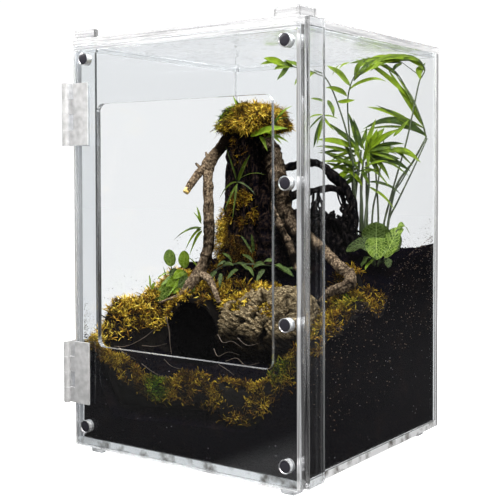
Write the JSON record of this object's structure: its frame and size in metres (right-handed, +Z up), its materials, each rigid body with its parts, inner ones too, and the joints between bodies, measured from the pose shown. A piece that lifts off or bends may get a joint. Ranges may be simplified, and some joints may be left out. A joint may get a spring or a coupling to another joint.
{
  "type": "reptile terrarium",
  "caption": "Upright clear acrylic vivarium with a magnet-held hinged front door, lift-off lid and a planted cork-bark habitat.",
  "frame": {"origin": "centre of the bounding box, on the surface under the feet", "axes": "+Z up, the door faces -Y, the hinges are on the -X side"},
  "size_m": [0.32, 0.3224, 0.479],
  "materials": {
    "acrylic": "clear cast acrylic sheet, polished faces, sawn edges",
    "hinge_plastic": "clear moulded plastic, slightly hazy",
    "hinge_pin": "white nylon rod",
    "nickel": "bright nickel plate",
    "magnet_face": "black epoxy",
    "soil": "moist, coarse peat and bark fibre",
    "moss": "dried sphagnum and sheet moss with green patches",
    "dark_bark": "rough virgin cork bark, moist",
    "bark": "rough bark, dry",
    "palm_stem": "waxy stem",
    "palm_leaf": "satin leaf",
    "fittonia_leaf": "satin leaf with pale veins"
  },
  "bodies": {
    "enclosure": {"base_panel": "acrylic", "left_wall": "acrylic", "right_wall": "acrylic", "back_wall": "acrylic", "front_frame": "acrylic", "left_side_strip": "acrylic", "right_side_strip": "acrylic", "foot_front_left": "acrylic", "foot_front_right": "acrylic", "foot_rear_left": "acrylic", "foot_rear_right": "acrylic", "frame_magnet_cups": "nickel", "frame_magnets": "magnet_face", "upper_hinge_wall_leaf": "hinge_plastic", "upper_hinge_pin": "hinge_pin", "lower_hinge_wall_leaf": "hinge_plastic", "lower_hinge_pin": "hinge_pin", "substrate": "soil", "moss_front": "moss", "moss_left": "moss", "moss_right": "moss", "moss_cave_top": "moss", "moss_stump_cap": "moss", "cork_cave_tube": "dark_bark", "cork_mound": "bark", "cork_stump": "dark_bark", "driftwood_rear": "dark_bark", "branch_left": "bark", "branch_right": "bark", "palm_stems": "palm_stem", "palm_fronds": "palm_leaf", "fittonia_left": "fittonia_leaf", "fittonia_right": "fittonia_leaf", "grass_left": "palm_leaf", "grass_stump": "palm_leaf"},
    "door": {"door_panel": "acrylic", "door_magnet_cups": "nickel", "door_magnets": "magnet_face", "upper_hinge_door_leaf": "hinge_plastic", "lower_hinge_door_leaf": "hinge_plastic"},
    "lid": {"lid_panel": "acrylic", "lid_front_rail": "acrylic", "lid_left_lip": "acrylic", "lid_right_lip": "acrylic", "lid_back_lip": "acrylic", "stack_corner_left": "acrylic", "stack_corner_right": "acrylic"}
  },
  "joints": [
    {"name": "door_hinge", "type": "hinge", "parent": "enclosure", "child": "door", "pos_m": [-0.156, -0.1572, 0.2395], "axis": [0, 0, -1], "range_deg": [0, 180]},
    {"name": "lid_lift", "type": "slide", "parent": "enclosure", "child": "lid", "axis": [0, 0, 1], "range_m": [0, 0.06]}
  ]
}
